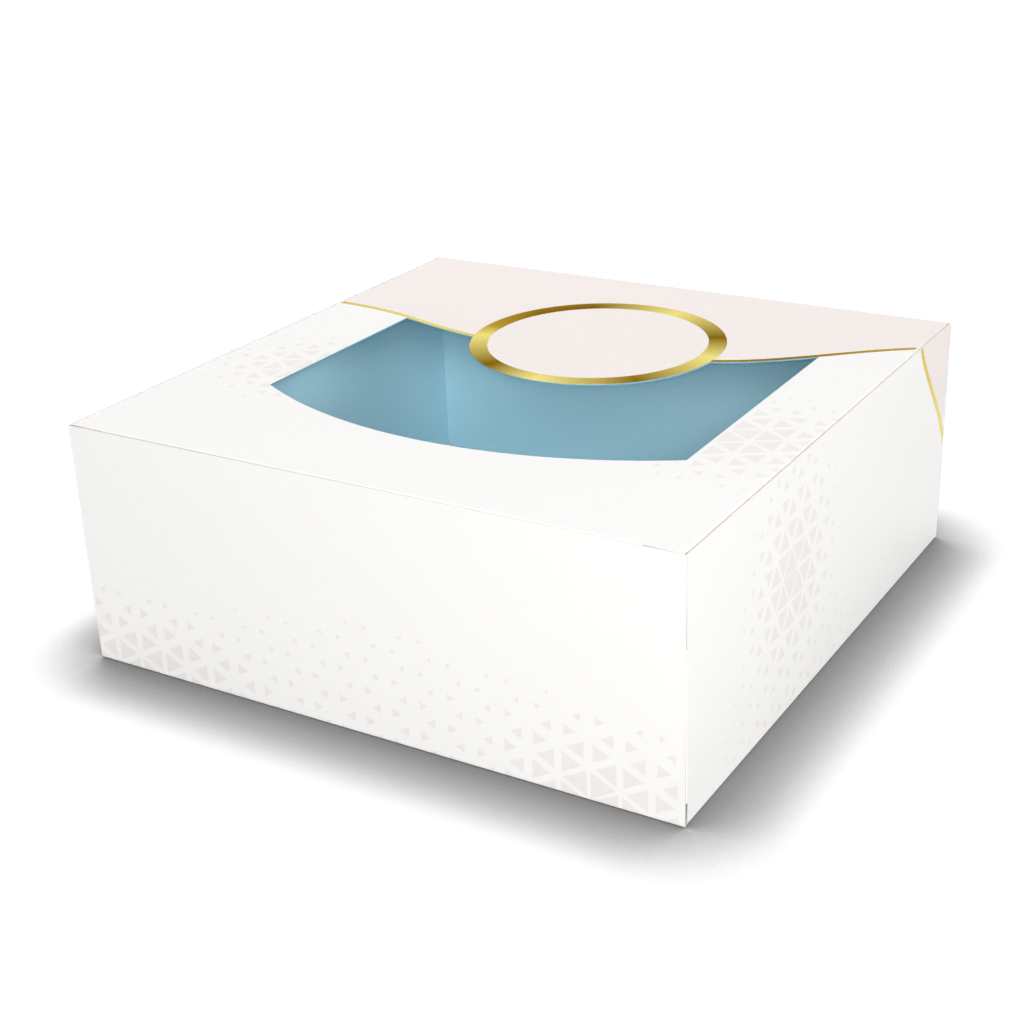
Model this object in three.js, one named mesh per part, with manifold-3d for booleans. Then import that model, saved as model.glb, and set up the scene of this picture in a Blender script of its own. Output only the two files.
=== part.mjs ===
// A cake box folded from one die-cut sheet of boxboard: a square tray with glued corners, and a window lid
// that hinges on the back wall and tucks three flaps inside the other walls.
// Millimetres. X runs from left to right along the front, Y from front to back, Z up.
// The origin is the middle of the underside.
import * as THREE from "three";
import { mergeVertices } from "three/addons/utils/BufferGeometryUtils.js";
import Module from "manifold-3d";

// Outside of the closed box
const BOX_WIDTH = 254;
const BOX_DEPTH = 254;
const BOX_HEIGHT = 98;

// Board, creases and clearances
const BOARD = 0.6; // thickness of the boxboard
const CREASE_GAP = 0.3; // open line between two panels that fold on a crease
const TUCK_CLEARANCE = 0.4; // between a tucked flap and the wall that it slides behind
const SWING_CLEARANCE = 0.8; // least gap of the front flap to the front wall while the lid swings

// Corner tabs, which fold from the side walls and are glued behind the front and back walls
const TAB_WIDTH = 34;
const TAB_TAPER = 5; // how far a tab narrows at its top and bottom towards its free edge
const TAB_LIFT = 1.5; // from the floor of the box to a tab's lower end
const TAB_HEADROOM = 4; // from a tab's top to the free edge of the tucked front flap
const TAB_ROUNDING = 6;
const GLUE = 0.3; // thickness of the set glue
const GLUE_BORDER = 6; // bare border of a tab round its glue

// Flaps of the lid
const FRONT_FLAP_DEPTH = 28;
const SIDE_FLAP_DEPTH = 28;
const FLAP_START = 1.5; // from the lid's front corner to the end of each flap
const SIDE_FLAP_BACK_GAP = 4; // from the lid's hinge to the back end of a side flap
const SIDE_FLAP_BACK_TAPER = 12;
const FLAP_MITRE = THREE.MathUtils.degToRad(45);
const FLAP_ROUNDING = 7;

// Window, its film and the frame of glue that holds the film
const WINDOW_LEFT_MARGIN = 41; // from the outside of the box to the window
const WINDOW_RIGHT_MARGIN = 33;
const WINDOW_FRONT_MARGIN = 69; // to the window's two front corners
const WINDOW_BOW = 24.5; // how far the window's front edge bulges past its corners
const FILM = 0.2; // thickness of the film
const FILM_LAP = 12; // how far the film reaches past the window
const FILM_ROUNDING = 4;
const FILM_GLUE_INSET = 2; // from the film's edge to the glue
const FILM_GLUE_WIDTH = 5;

// Gold foil: a ring, and a line that waves over the lid and on over the walls
const FOIL = 0.15; // how far the embossed foil stands proud
const FOIL_LINE = 2.4; // width of the line
const FOIL_EDGE = 0.3; // board left between the foil and the window's cut edge
const FOIL_GAP = 0.3; // between the line and the ring
const RING_X = 5; // to the right of the box's middle
const RING_TO_BACK = 83.5; // from the box's back to the ring's centre
const RING_OUTER_RADIUS = 53;
const RING_BAND = 7.4;

// The line on the lid, with distances from the box's back: level at the left edge, down to a trough,
// level again under the ring's right side, then up to the right edge, which it meets at a slant
const WAVE_LEFT_TO_BACK = 82.4;
const WAVE_TROUGH_X = -25;
const WAVE_TROUGH_TO_BACK = 100;
const WAVE_RISE_X = 44;
const WAVE_RISE_TO_BACK = 89;
const WAVE_RIGHT_TO_BACK = 37.5;
const WAVE_RIGHT_SLANT = THREE.MathUtils.degToRad(28);
const WAVE_PULL = 30; // length of the curve's handles: how softly it leaves one level and meets the next
const WAVE_LEFT_PULL = 45; // the same between the left edge and the trough

// The line on the walls: where and how steeply it crosses the back corners, and the handles of its sweeps
const RIGHT_CROSSING_HEIGHT = 44;
const RIGHT_CROSSING_SLANT = THREE.MathUtils.degToRad(70);
const LEFT_CROSSING_HEIGHT = 30;
const STEEP_PULL = 20;
const DROP_PULL = 36;
const LEVEL_PULL = 60;

// Smoothness
const CORNER_STEPS = 6; // straight steps to each rounded corner
const WAVE_STEPS = 16; // straight steps to each stretch of the gold line
const BOW_STEPS = 24; // pairs of straight steps along the window's bowed edge
const RING_SIDES = 96;
const WELD = 1e-4; // vertices closer than this are one

const halfWidth = BOX_WIDTH / 2;
const halfDepth = BOX_DEPTH / 2;
const lidUnderside = BOX_HEIGHT - BOARD;
const hingedTop = lidUnderside - CREASE_GAP; // top of the back wall, under the lid
const flapInset = BOARD + TUCK_CLEARANCE; // from the outside of the box to a tucked flap
const quarterTurn = Math.PI / 2;

const wasm = await Module();
wasm.setup();

// A closed geometry as a solid that can be joined and cut
function solid(geometry) {
  const bare = geometry.clone();
  bare.deleteAttribute("normal");
  bare.deleteAttribute("uv");
  const welded = mergeVertices(bare, WELD);
  return new wasm.Manifold(
    new wasm.Mesh({
      numProp: 3,
      vertProperties: welded.attributes.position.array,
      triVerts: new Uint32Array(welded.index.array),
    }),
  );
}

function geometryOf(cut) {
  const { vertProperties, triVerts } = cut.getMesh();
  const geometry = new THREE.BufferGeometry();
  geometry.setAttribute("position", new THREE.BufferAttribute(vertProperties, 3));
  geometry.setIndex(new THREE.BufferAttribute(triVerts, 1));
  geometry.computeVertexNormals();
  return geometry;
}

// A closed outline through corners given as [x, y] or, where a corner is rounded, [x, y, rounding]
function outline(corners) {
  const shape = new THREE.Shape();
  corners.forEach(([x, y, rounding = 0], i) => {
    const corner = new THREE.Vector2(x, y);
    const towards = ([toX, toY]) => new THREE.Vector2(toX, toY).sub(corner).setLength(rounding).add(corner);
    const start = towards(corners.at(i - 1));
    const end = towards(corners[(i + 1) % corners.length]);
    if (i === 0) shape.moveTo(start.x, start.y);
    else shape.lineTo(start.x, start.y);
    if (rounding > 0) shape.quadraticCurveTo(x, y, end.x, end.y);
  });
  shape.closePath();
  return shape;
}

function rectangle(left, bottom, right, top, rounding = 0) {
  return outline([
    [left, bottom, rounding],
    [right, bottom, rounding],
    [right, top, rounding],
    [left, top, rounding],
  ]);
}

// A flat piece: an outline with a thickness, from z = 0 upwards
function slab(shape, thickness, curveSegments = CORNER_STEPS) {
  return new THREE.ExtrudeGeometry(shape, { depth: thickness, bevelEnabled: false, curveSegments });
}

// A solid that cuts or trims a slab of board or foil lying on z = 0
const cutterHeight = 3 * BOARD;
function cutter(shape, curveSegments) {
  return solid(slab(shape, cutterHeight, curveSegments).translate(0, 0, -BOARD));
}

// Points of a line moved sideways, to the left of its direction
function sideways(points, distance) {
  return points.map((point, i) => {
    const before = points[Math.max(i - 1, 0)];
    const after = points[Math.min(i + 1, points.length - 1)];
    const along = after.clone().sub(before).setLength(distance);
    return new THREE.Vector2(point.x - along.y, point.y + along.x);
  });
}

// The foil line along a curve, run on past both ends and then trimmed to its panel
function foilLine(path, panelShape) {
  const points = path.getPoints(WAVE_STEPS);
  const runOn = (end, next) => end.clone().sub(next).setLength(FOIL_LINE).add(end);
  points.unshift(runOn(points[0], points[1]));
  points.push(runOn(points.at(-1), points.at(-2)));
  const edges = [...sideways(points, FOIL_LINE / 2), ...sideways(points, -FOIL_LINE / 2).reverse()];
  return solid(slab(new THREE.Shape(edges), FOIL)).intersect(cutter(panelShape));
}

function bezier(...points) {
  return new THREE.CubicBezierCurve(...points.map(([x, y]) => new THREE.Vector2(x, y)));
}

// A curve's handle: a point at a length and angle from one of its ends
function handle([x, y], length, angle = 0) {
  return [x + length * Math.cos(angle), y + length * Math.sin(angle)];
}

const boardFinish = () => new THREE.MeshStandardMaterial({ color: 0xfcfbfa, roughness: 0.55, metalness: 0 });
const blushFinish = () => new THREE.MeshStandardMaterial({ color: 0xf5edea, roughness: 0.55, metalness: 0 });
const glueFinish = () => new THREE.MeshStandardMaterial({ color: 0xefe8d6, roughness: 0.4, metalness: 0 });
const foilFinish = () => new THREE.MeshStandardMaterial({ color: 0xc0982f, roughness: 0.3, metalness: 1 });
const filmFinish = () =>
  new THREE.MeshStandardMaterial({
    color: 0xeef6f8,
    roughness: 0.05,
    metalness: 0,
    transparent: true,
    opacity: 0.2,
  });

const box = new THREE.Group();

// A group for one side of the box, with its own x to the right, y up and z outwards, seen from outside.
// Quarter turns count from the front: 0 front, 1 right, 2 back, 3 left.
function facing(quarterTurns, outward = 0, up = 0, lean = 0) {
  const side = new THREE.Group();
  side.rotation.z = quarterTurns * quarterTurn;
  const plane = new THREE.Group();
  plane.position.set(0, -outward, up);
  plane.rotation.x = quarterTurn + lean;
  side.add(plane);
  box.add(side);
  return plane;
}

// Adds one named piece to a group, with its lower face at z in the group
function piece(group, name, geometry, finish, z) {
  const mesh = new THREE.Mesh(geometry, finish());
  mesh.name = name;
  mesh.position.z = z;
  group.add(mesh);
}

// Base
const baseHalfWidth = halfWidth - BOARD - CREASE_GAP;
const baseHalfDepth = halfDepth - BOARD - CREASE_GAP;
const baseShape = rectangle(-baseHalfWidth, -baseHalfDepth, baseHalfWidth, baseHalfDepth);
piece(box, "base_panel", slab(baseShape, BOARD), boardFinish, 0);

// Front and back walls span the full width
const front = facing(0);
const back = facing(2);
const frontShape = rectangle(-halfWidth, 0, halfWidth, BOX_HEIGHT);
const backShape = rectangle(-halfWidth, 0, halfWidth, hingedTop);
piece(front, "front_wall", slab(frontShape, BOARD), boardFinish, halfDepth - BOARD);
piece(back, "back_wall", slab(backShape, BOARD), blushFinish, halfDepth - BOARD);

// Side walls stand between them
const right = facing(1);
const left = facing(3);
const sideHalfLength = halfDepth - BOARD - GLUE;
const sideShape = rectangle(-sideHalfLength, 0, sideHalfLength, BOX_HEIGHT);
piece(right, "right_wall", slab(sideShape, BOARD), boardFinish, halfWidth - BOARD);
piece(left, "left_wall", slab(sideShape, BOARD), boardFinish, halfWidth - BOARD);

// Corner tabs, and the glue between each tab and the wall that covers it
function cornerTab(group, corner, side) {
  const root = halfWidth - BOARD - CREASE_GAP;
  const free = root - TAB_WIDTH;
  const bottom = BOARD + TAB_LIFT;
  const top = hingedTop - FRONT_FLAP_DEPTH - TAB_HEADROOM;
  const tab = outline([
    [side * root, bottom],
    [side * root, top],
    [side * free, top - TAB_TAPER, TAB_ROUNDING],
    [side * free, bottom + TAB_TAPER, TAB_ROUNDING],
  ]);
  const patch = rectangle(
    side * (root - GLUE_BORDER),
    bottom + TAB_TAPER + GLUE_BORDER,
    side * (free + GLUE_BORDER),
    top - TAB_TAPER - GLUE_BORDER,
  );
  const tabFace = halfDepth - BOARD - GLUE;
  piece(group, corner + "_tab", slab(tab, BOARD), boardFinish, tabFace - BOARD);
  piece(group, corner + "_glue", slab(patch, GLUE), glueFinish, tabFace);
}
cornerTab(front, "front_left", -1);
cornerTab(front, "front_right", 1);
cornerTab(back, "back_left", 1);
cornerTab(back, "back_right", -1);

// The gold line on the lid, from the left edge of the box to the right
const waveLeft = [-halfWidth, halfDepth - WAVE_LEFT_TO_BACK];
const waveTrough = [WAVE_TROUGH_X, halfDepth - WAVE_TROUGH_TO_BACK];
const waveRise = [WAVE_RISE_X, halfDepth - WAVE_RISE_TO_BACK];
const waveRight = [halfWidth, halfDepth - WAVE_RIGHT_TO_BACK];
const slanted = handle(waveRight, -WAVE_PULL, WAVE_RIGHT_SLANT);
const wave = new THREE.CurvePath();
wave.add(bezier(waveLeft, handle(waveLeft, WAVE_LEFT_PULL), handle(waveTrough, -WAVE_LEFT_PULL), waveTrough));
wave.add(bezier(waveTrough, handle(waveTrough, WAVE_PULL), handle(waveRise, -WAVE_PULL), waveRise));
wave.add(bezier(waveRise, handle(waveRise, WAVE_PULL), slanted, waveRight));

// The ring's round outline, with room round it or inside it
const ringY = halfDepth - RING_TO_BACK;
function disc(radius) {
  const shape = new THREE.Shape();
  shape.absarc(RING_X, ringY, radius, 0, 2 * Math.PI);
  return shape;
}
const ringSteps = RING_SIDES / 2; // an arc takes two sides to each step

// Window: bowed at the front, straight at the sides, and at the back along the gold line and round the ring
const windowLeft = -halfWidth + WINDOW_LEFT_MARGIN;
const windowRight = halfWidth - WINDOW_RIGHT_MARGIN;
const windowFront = -halfDepth + WINDOW_FRONT_MARGIN;
const windowHalfWidth = (windowRight - windowLeft) / 2;
const bowRadius = (windowHalfWidth ** 2 + WINDOW_BOW ** 2) / (2 * WINDOW_BOW);
const bowReach = Math.asin(windowHalfWidth / bowRadius);
const bowX = (windowLeft + windowRight) / 2;
const bowY = windowFront - WINDOW_BOW + bowRadius;
const windowBlank = new THREE.Shape();
windowBlank.absarc(bowX, bowY, bowRadius, -quarterTurn - bowReach, -quarterTurn + bowReach);
windowBlank.lineTo(windowRight, halfDepth);
windowBlank.lineTo(windowLeft, halfDepth);
windowBlank.closePath();
const behindWave = new THREE.Shape([
  ...sideways(wave.getPoints(WAVE_STEPS), -FOIL_LINE / 2 - FOIL_EDGE),
  new THREE.Vector2(halfWidth, BOX_DEPTH),
  new THREE.Vector2(-halfWidth, BOX_DEPTH),
]);
const windowCut = cutter(windowBlank, BOW_STEPS)
  .subtract(cutter(behindWave))
  .subtract(cutter(disc(RING_OUTER_RADIUS + FOIL_EDGE), ringSteps));

// Lid panel
const lidHalfWidth = halfWidth - flapInset;
const lidFront = -halfDepth + flapInset;
const lidShape = rectangle(-lidHalfWidth, lidFront, lidHalfWidth, halfDepth);
const lidPanel = solid(slab(lidShape, BOARD)).subtract(windowCut);
piece(box, "lid_panel", geometryOf(lidPanel), boardFinish, lidUnderside);

// Window film under the lid, and the frame of glue between them
const { min, max } = windowCut.boundingBox();
function roundWindow(reach) {
  return rectangle(min[0] - reach, min[1] - reach, max[0] + reach, max[1] + reach, FILM_ROUNDING);
}
const glueReach = FILM_LAP - FILM_GLUE_INSET;
const glueFrame = roundWindow(glueReach);
glueFrame.holes.push(roundWindow(glueReach - FILM_GLUE_WIDTH));
const filmTop = lidUnderside - GLUE;
piece(box, "window_glue", slab(glueFrame, GLUE), glueFinish, filmTop);
piece(box, "window_film", slab(roundWindow(FILM_LAP), FILM), filmFinish, filmTop - FILM);

// Gold foil on the lid: the ring, and the line that it cuts in two
const ringShape = disc(RING_OUTER_RADIUS);
ringShape.holes.push(disc(RING_OUTER_RADIUS - RING_BAND));
piece(box, "foil_ring", slab(ringShape, FOIL, ringSteps), foilFinish, BOX_HEIGHT);
const [lineLeft, lineRight] = foilLine(wave, lidShape)
  .subtract(cutter(disc(RING_OUTER_RADIUS + FOIL_GAP), ringSteps))
  .decompose()
  .sort((a, b) => a.boundingBox().min[0] - b.boundingBox().min[0]);
piece(box, "lid_foil_left", geometryOf(lineLeft), foilFinish, BOX_HEIGHT);
piece(box, "lid_foil_right", geometryOf(lineRight), foilFinish, BOX_HEIGHT);

// Gold foil on the walls: the line runs on down from the lid's edges and round the back
const rightTop = [waveRight[1], BOX_HEIGHT];
const rightEnd = [halfDepth, RIGHT_CROSSING_HEIGHT];
const rightLine = bezier(
  rightTop,
  handle(rightTop, STEEP_PULL, WAVE_RIGHT_SLANT - quarterTurn),
  handle(rightEnd, -STEEP_PULL, -RIGHT_CROSSING_SLANT),
  rightEnd,
);
const leftTop = [-waveLeft[1], BOX_HEIGHT];
const leftEnd = [-halfDepth, LEFT_CROSSING_HEIGHT];
const leftLine = bezier(leftTop, handle(leftTop, DROP_PULL, -quarterTurn), handle(leftEnd, LEVEL_PULL), leftEnd);
const backStart = [-halfWidth, RIGHT_CROSSING_HEIGHT];
const backEnd = [halfWidth, LEFT_CROSSING_HEIGHT];
const backLine = bezier(
  backStart,
  handle(backStart, STEEP_PULL, -RIGHT_CROSSING_SLANT),
  handle(backEnd, -LEVEL_PULL),
  backEnd,
);
piece(right, "right_wall_foil", geometryOf(foilLine(rightLine, sideShape)), foilFinish, halfWidth);
piece(left, "left_wall_foil", geometryOf(foilLine(leftLine, sideShape)), foilFinish, halfWidth);
piece(back, "back_wall_foil", geometryOf(foilLine(backLine, backShape)), foilFinish, halfDepth);

// Front flap: it leans inwards just enough that its free edge, on its arc about the lid's hinge,
// passes the front wall with the swing clearance
const flapTop = -CREASE_GAP;
const frontCrease = halfDepth - flapInset - BOARD;
const hingeToCrease = halfDepth + frontCrease;
const hang = CREASE_GAP + FRONT_FLAP_DEPTH;
const reach = BOX_DEPTH - BOARD - SWING_CLEARANCE;
const across = hingeToCrease * hang - BOARD ** 2;
const along = (hingeToCrease + hang) * BOARD;
const excess = (hingeToCrease ** 2 + hang ** 2 + 2 * BOARD ** 2 - reach ** 2) / 2;
const lean = Math.atan2(along, across) + Math.asin(excess / Math.hypot(along, across));
const frontFlap = facing(0, frontCrease, lidUnderside, lean);
const frontEnd = lidHalfWidth - FLAP_START;
const frontMitre = FRONT_FLAP_DEPTH * Math.tan(FLAP_MITRE);
const frontFlapShape = outline([
  [-frontEnd, flapTop],
  [-frontEnd + frontMitre, -hang, FLAP_ROUNDING],
  [frontEnd - frontMitre, -hang, FLAP_ROUNDING],
  [frontEnd, flapTop],
]);
piece(frontFlap, "tuck_flap", slab(frontFlapShape, BOARD), boardFinish, 0);

// Side flaps, mitred at the front so that all three can fold in together
function sideFlap(name, quarterTurns, toBack) {
  const group = facing(quarterTurns, halfWidth - flapInset - BOARD, lidUnderside);
  const bottom = flapTop - SIDE_FLAP_DEPTH;
  const start = lidFront + FLAP_START;
  const end = halfDepth - SIDE_FLAP_BACK_GAP;
  const shape = outline([
    [toBack * start, flapTop],
    [toBack * (start + SIDE_FLAP_DEPTH * Math.tan(FLAP_MITRE)), bottom, FLAP_ROUNDING],
    [toBack * (end - SIDE_FLAP_BACK_TAPER), bottom, FLAP_ROUNDING],
    [toBack * end, flapTop],
  ]);
  piece(group, name, slab(shape, BOARD), boardFinish, 0);
}
sideFlap("right_flap", 1, 1);
sideFlap("left_flap", 3, -1);

export default box;
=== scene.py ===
import math

import bmesh
import bpy
from mathutils import Matrix, Vector


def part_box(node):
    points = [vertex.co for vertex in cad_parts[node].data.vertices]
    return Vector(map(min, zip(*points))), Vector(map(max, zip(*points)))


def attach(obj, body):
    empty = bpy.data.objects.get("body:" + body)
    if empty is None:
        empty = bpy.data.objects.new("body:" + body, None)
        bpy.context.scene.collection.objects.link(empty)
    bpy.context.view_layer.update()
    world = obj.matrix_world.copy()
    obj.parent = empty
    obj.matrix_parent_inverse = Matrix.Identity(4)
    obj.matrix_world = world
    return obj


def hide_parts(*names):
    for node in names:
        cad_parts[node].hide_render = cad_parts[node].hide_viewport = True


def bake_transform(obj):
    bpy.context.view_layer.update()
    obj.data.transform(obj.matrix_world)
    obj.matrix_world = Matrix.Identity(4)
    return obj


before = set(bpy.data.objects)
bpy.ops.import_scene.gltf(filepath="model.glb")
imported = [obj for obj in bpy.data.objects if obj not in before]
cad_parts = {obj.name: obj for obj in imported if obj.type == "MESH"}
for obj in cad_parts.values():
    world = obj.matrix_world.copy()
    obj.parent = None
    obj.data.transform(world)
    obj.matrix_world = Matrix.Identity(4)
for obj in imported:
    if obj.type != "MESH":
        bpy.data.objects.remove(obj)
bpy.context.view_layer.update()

# Base of the tray. The middle panel of the one die-cut blank of white folding boxboard, on which the cake
# stands. All four of its edges are creases, and the walls fold up from them.

BOARD = 0.6  # mm, as are all sizes here until a mesh is made
HALF = 1000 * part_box("front_wall")[1].x  # half of the box's width and depth
HEIGHT = 1000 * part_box("front_wall")[1].z
CREASE = BOARD + 0.3  # outside radius of a creased fold
ROLL = math.pi / 2 * (CREASE - BOARD / 2)  # board taken up by a fold, along the middle of its thickness
BASE_EDGE = HALF - CREASE
CUT_ROUNDING = 0.1  # a die's knife presses the board's edges this round
CUT_PROFILE = ((1, 0), (0.293, 0.293), (0, 1))  # way in and depth on a cut edge, in roundings
BEND_STEPS = 6
TOUCHING = 1e-4  # points closer than this are one
COATED, INSIDE, CUT = range(3)  # the finishes on a panel's outer face, inner face and cut edges


def colour(code):
    """An sRGB hex colour as linear red, green, blue and alpha."""
    parts = [int(code[i : i + 2], 16) / 255 for i in (1, 3, 5)]
    return (*[p / 12.92 if p <= 0.04045 else ((p + 0.055) / 1.055) ** 2.4 for p in parts], 1)


def feed(node, inputs):
    """Links or sets a node's inputs."""
    for key, value in inputs.items():
        if isinstance(value, bpy.types.NodeSocket):
            node.id_data.links.new(value, node.inputs[key])
        else:
            node.inputs[key].default_value = value


def add(tree, kind, inputs=None, out=0, **settings):
    """Adds a node with its settings and inputs, and gives one of its outputs."""
    made = tree.nodes.new("ShaderNode" + kind)
    for key, value in settings.items():
        setattr(made, key, value)
    feed(made, inputs or {})
    return made.outputs[out]


def finish_named(name):
    """A new material, its node tree and its shader."""
    material = bpy.data.materials.new(name)
    material.use_nodes = True
    return material, material.node_tree, material.node_tree.nodes["Principled BSDF"]


def cut_board(name, loops, place, sheet, finishes, bends=()):
    """A panel cut from board. The loops are flat, of (a, b) or (a, b, rounding of the cut edge), and have the
    board on their left: the first runs round the panel and the others round its openings. place bends a
    point (a, b, depth) into the box, and sheet gives its spot on the flat print, in mm, for the finishes."""
    bm = bmesh.new()
    rims = ([], [])
    for loop in loops:
        corners = []
        for i, corner in enumerate(loop):
            here, before, after = (Vector(c[:2]) for c in (corner, loop[i - 1], loop[(i + 1) % len(loop)]))
            into, out = (here - before).normalized(), (after - here).normalized()
            ways = Vector((-into.y, into.x)), Vector((-out.y, out.x))
            inward = (ways[0] + ways[1]) / (1 + ways[0].dot(ways[1]))
            corners.append((here, inward, corner[2] if len(corner) > 2 else CUT_ROUNDING))
        rows = []
        for upper in (True, False):
            for inset, depth in CUT_PROFILE if upper else CUT_PROFILE[::-1]:
                row = []
                for p, way, r in corners:
                    z = -depth * r if upper else depth * r - BOARD
                    row.append(bm.verts.new((*(p + way * inset * r), z)))
                rows.append(row)
        for above, below in zip(rows, rows[1:]):
            for i in range(len(loop)):
                bm.faces.new((above[i - 1], above[i], below[i], below[i - 1])).material_index = CUT
        for rim, row in zip(rims, (rows[0], rows[-1])):
            rim.extend(bm.edges.get((row[i - 1], row[i])) for i in range(len(row)))
    for rim, side in zip(rims, (COATED, INSIDE)):
        filled = bmesh.ops.triangle_fill(bm, use_beauty=True, edges=rim, normal=(0, 0, 1))
        for face in filled["geom"]:
            if isinstance(face, bmesh.types.BMFace):
                face.material_index = side
    bmesh.ops.remove_doubles(bm, verts=bm.verts, dist=TOUCHING)
    for axis, start, end in bends:
        for i in range(BEND_STEPS + 1):
            at, way = Vector(), Vector()
            at[axis], way[axis] = start + (end - start) * i / BEND_STEPS, 1
            everything = [*bm.verts, *bm.edges, *bm.faces]
            bmesh.ops.bisect_plane(bm, geom=everything, dist=TOUCHING, plane_co=at, plane_no=way)
    for face in bm.faces:
        middle = face.calc_center_median()
        bent = any(min(start, end) < middle[axis] < max(start, end) for axis, start, end in bends)
        face.smooth = bent or face.material_index == CUT
    for edge in bm.edges:
        edge.smooth = len({face.material_index for face in edge.link_faces}) == 1
    spot = bm.verts.layers.float_vector.new("sheet")
    for vert in bm.verts:
        a, b, depth = vert.co.x, vert.co.y, -vert.co.z
        vert[spot] = (*sheet(a, b), depth)
        vert.co = Vector(place(a, b, depth)) / 1000
    bmesh.ops.recalc_face_normals(bm, faces=bm.faces)
    return made_piece(name, bm, finishes)


def made_piece(name, bm, finishes):
    """A new object with a finished mesh and its finishes, linked to the scene."""
    mesh = bpy.data.meshes.new(name)
    bm.to_mesh(mesh)
    bm.free()
    for finish in finishes:
        mesh.materials.append(finish)
    piece = bpy.data.objects.new(name, mesh)
    bpy.context.scene.collection.objects.link(piece)
    return piece


# Clay-coated folding boxboard, offset printed: a bright satin white, faintly mottled where the coating lies
# thicker, with a very slight cockle in the sheet. A pale halftone of triangles and a blush band lie on it.
BOARD_WHITE = colour("#faf9f7")
TRIANGLE_TINT = colour("#f2edea")
BLUSH = colour("#f4ebe7")
CRACKED_INK = colour("#fdfcfb")
MOTTLE_MM = 2.5
COCKLE_MM = 45.0
FIBRE_MM = 0.7  # as fine as the render shows
LEAST_TRIANGLE, FAR_TRIANGLE = 0.14, 0.1  # of full size: the plate's smallest, and at a spot's rim
TRIANGLE_BLUR, BAND_BLUR = 0.004, 0.1  # half width of a printed edge: of a triangle's height, and mm
WORN_NEAR, WORN_FAR, WORN_MOST = 0.2, 1.4, 0.5  # mm from a fold, and the share of ink that is cracked there


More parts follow.
